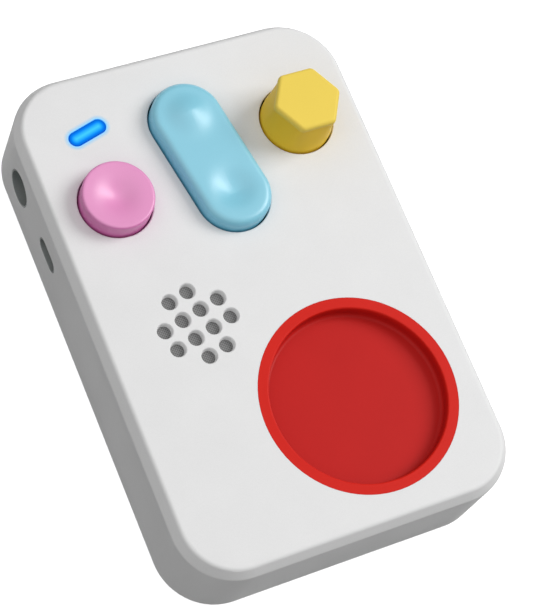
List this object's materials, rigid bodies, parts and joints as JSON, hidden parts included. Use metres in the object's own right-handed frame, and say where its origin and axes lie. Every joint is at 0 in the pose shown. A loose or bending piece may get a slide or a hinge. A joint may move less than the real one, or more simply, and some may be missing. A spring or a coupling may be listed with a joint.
{
  "type": "audio story player",
  "caption": "Small rounded box for children that plays stories: a round well reads a figure's foot, with a play button, a skip rocker, a volume knob, a light window and a speaker grille.",
  "frame": {"origin": "bottom centre, under the middle of the four rubber feet", "axes": "+Z out of the face, +Y along the body towards the controls, +X across the face away from the side sockets"},
  "size_m": [0.093, 0.14, 0.0398],
  "materials": {
    "shell_white": "fine matte moulded ABS",
    "rubber_dark": "soft matte rubber",
    "screw_steel": "zinc-plated",
    "cup_red": "satin moulded",
    "magnet_nickel": "nickel-plated",
    "board_green": "solder mask",
    "coil_copper": "enamelled copper wire",
    "inner_grey": "glass-filled nylon",
    "window_blue": "clear light pipe, lit blue",
    "led_cream": "LED package",
    "mesh_black": "woven acoustic mesh",
    "foam_grey": "closed-cell foam",
    "basket_steel": "pressed steel",
    "cone_paper": "coated paper and rubber surround",
    "button_pink": "satin moulded",
    "rocker_blue": "satin moulded",
    "knob_yellow": "satin moulded",
    "silicone_clear": "translucent silicone",
    "shaft_steel": "turned",
    "black_plastic": "moulded",
    "contact_gold": "gold-plated pads",
    "socket_ivory": "nylon",
    "cell_silver": "foil pouch",
    "tape_cream": "double-sided tape",
    "wire_red": "PVC insulation",
    "wire_dark": "PVC insulation"
  },
  "bodies": {
    "housing": {"front_shell": "shell_white", "rear_cover": "shell_white", "rubber_feet": "rubber_dark", "case_screws": "screw_steel", "well_cup": "cup_red", "well_magnet": "magnet_nickel", "reader_board": "board_green", "reader_coil": "coil_copper", "reader_holder": "inner_grey", "holder_screws": "screw_steel", "status_window": "window_blue", "status_led": "led_cream", "speaker_mesh": "mesh_black", "speaker_gasket": "foam_grey", "speaker_basket": "basket_steel", "speaker_cone": "cone_paper", "speaker_magnet": "magnet_nickel", "speaker_bracket": "inner_grey", "speaker_screws": "screw_steel", "play_dome": "silicone_clear", "rocker_pin": "screw_steel", "rocker_bracket": "inner_grey", "rocker_screws": "screw_steel", "rocker_dome_next": "silicone_clear", "rocker_dome_back": "silicone_clear", "encoder_body": "black_plastic", "main_board": "board_green", "contact_pads": "contact_gold", "processor_chip": "black_plastic", "memory_chip": "black_plastic", "amplifier_chip": "black_plastic", "board_sockets": "socket_ivory", "lead_plugs": "socket_ivory", "board_screws": "screw_steel", "headphone_jack": "black_plastic", "charging_port": "basket_steel", "port_tongue": "black_plastic", "recess_sleeve": "black_plastic", "slot_sleeve": "black_plastic", "battery_cell": "cell_silver", "battery_tape": "tape_cream", "battery_foam": "foam_grey", "battery_lead": "wire_red", "speaker_lead": "wire_dark", "reader_lead": "wire_dark"},
    "play": {"play_button": "button_pink"},
    "rocker": {"skip_rocker": "rocker_blue"},
    "volume": {"volume_knob": "knob_yellow", "encoder_shaft": "shaft_steel"}
  },
  "joints": [
    {"name": "play_press", "type": "slide", "parent": "housing", "child": "play", "axis": [0, 0, -1], "range_m": [0, 0.0012], "stiffness_N_per_m": 900, "springref_m": -0.0006, "deforming": ["play_dome"]},
    {"name": "rocker_tilt", "type": "hinge", "parent": "housing", "child": "rocker", "pos_m": [0, 0.0368, 0.0234], "axis": [0.9857, 0.1685, 0], "range_deg": [-3, 3], "stiffness_Nm_per_rad": 0.8, "deforming": ["rocker_dome_next", "rocker_dome_back"]},
    {"name": "volume_turn", "type": "hinge", "parent": "housing", "child": "volume", "pos_m": [0.0272, 0.041, 0.0275], "axis": [0, 0, 1], "continuous": true}
  ]
}
